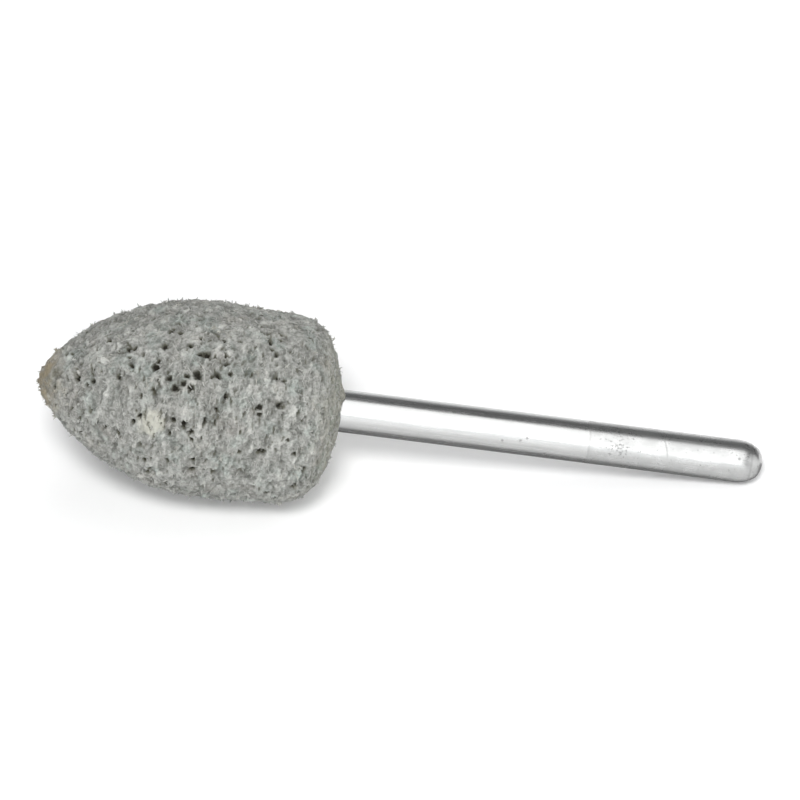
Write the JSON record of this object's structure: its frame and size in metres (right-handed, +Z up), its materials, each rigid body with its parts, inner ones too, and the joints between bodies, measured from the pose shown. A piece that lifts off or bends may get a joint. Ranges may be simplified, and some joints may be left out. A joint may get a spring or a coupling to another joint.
{
  "type": "mounted point",
  "caption": "Bullet-shaped, open-pored fibre-bonded abrasive head cemented on a plain round steel shank, for deburring and polishing in a rotary grinder.",
  "frame": {"origin": "centre of the part's footprint, on the surface that it lies on", "axes": "+Z up, +X from the tip towards the free end of the shank, Y across; the part lies as it comes to rest, on a small flat at the back edge of the head and on the end of the shank, with the head's heavy side down"},
  "size_m": [0.0508, 0.0138, 0.0144],
  "materials": {
    "bonded_fibre": "matte",
    "cement": "matte",
    "drawn_steel": "satin"
  },
  "bodies": {
    "root": {"abrasive_head": "bonded_fibre", "cement": "cement", "shank": "drawn_steel"}
  },
  "joints": []
}
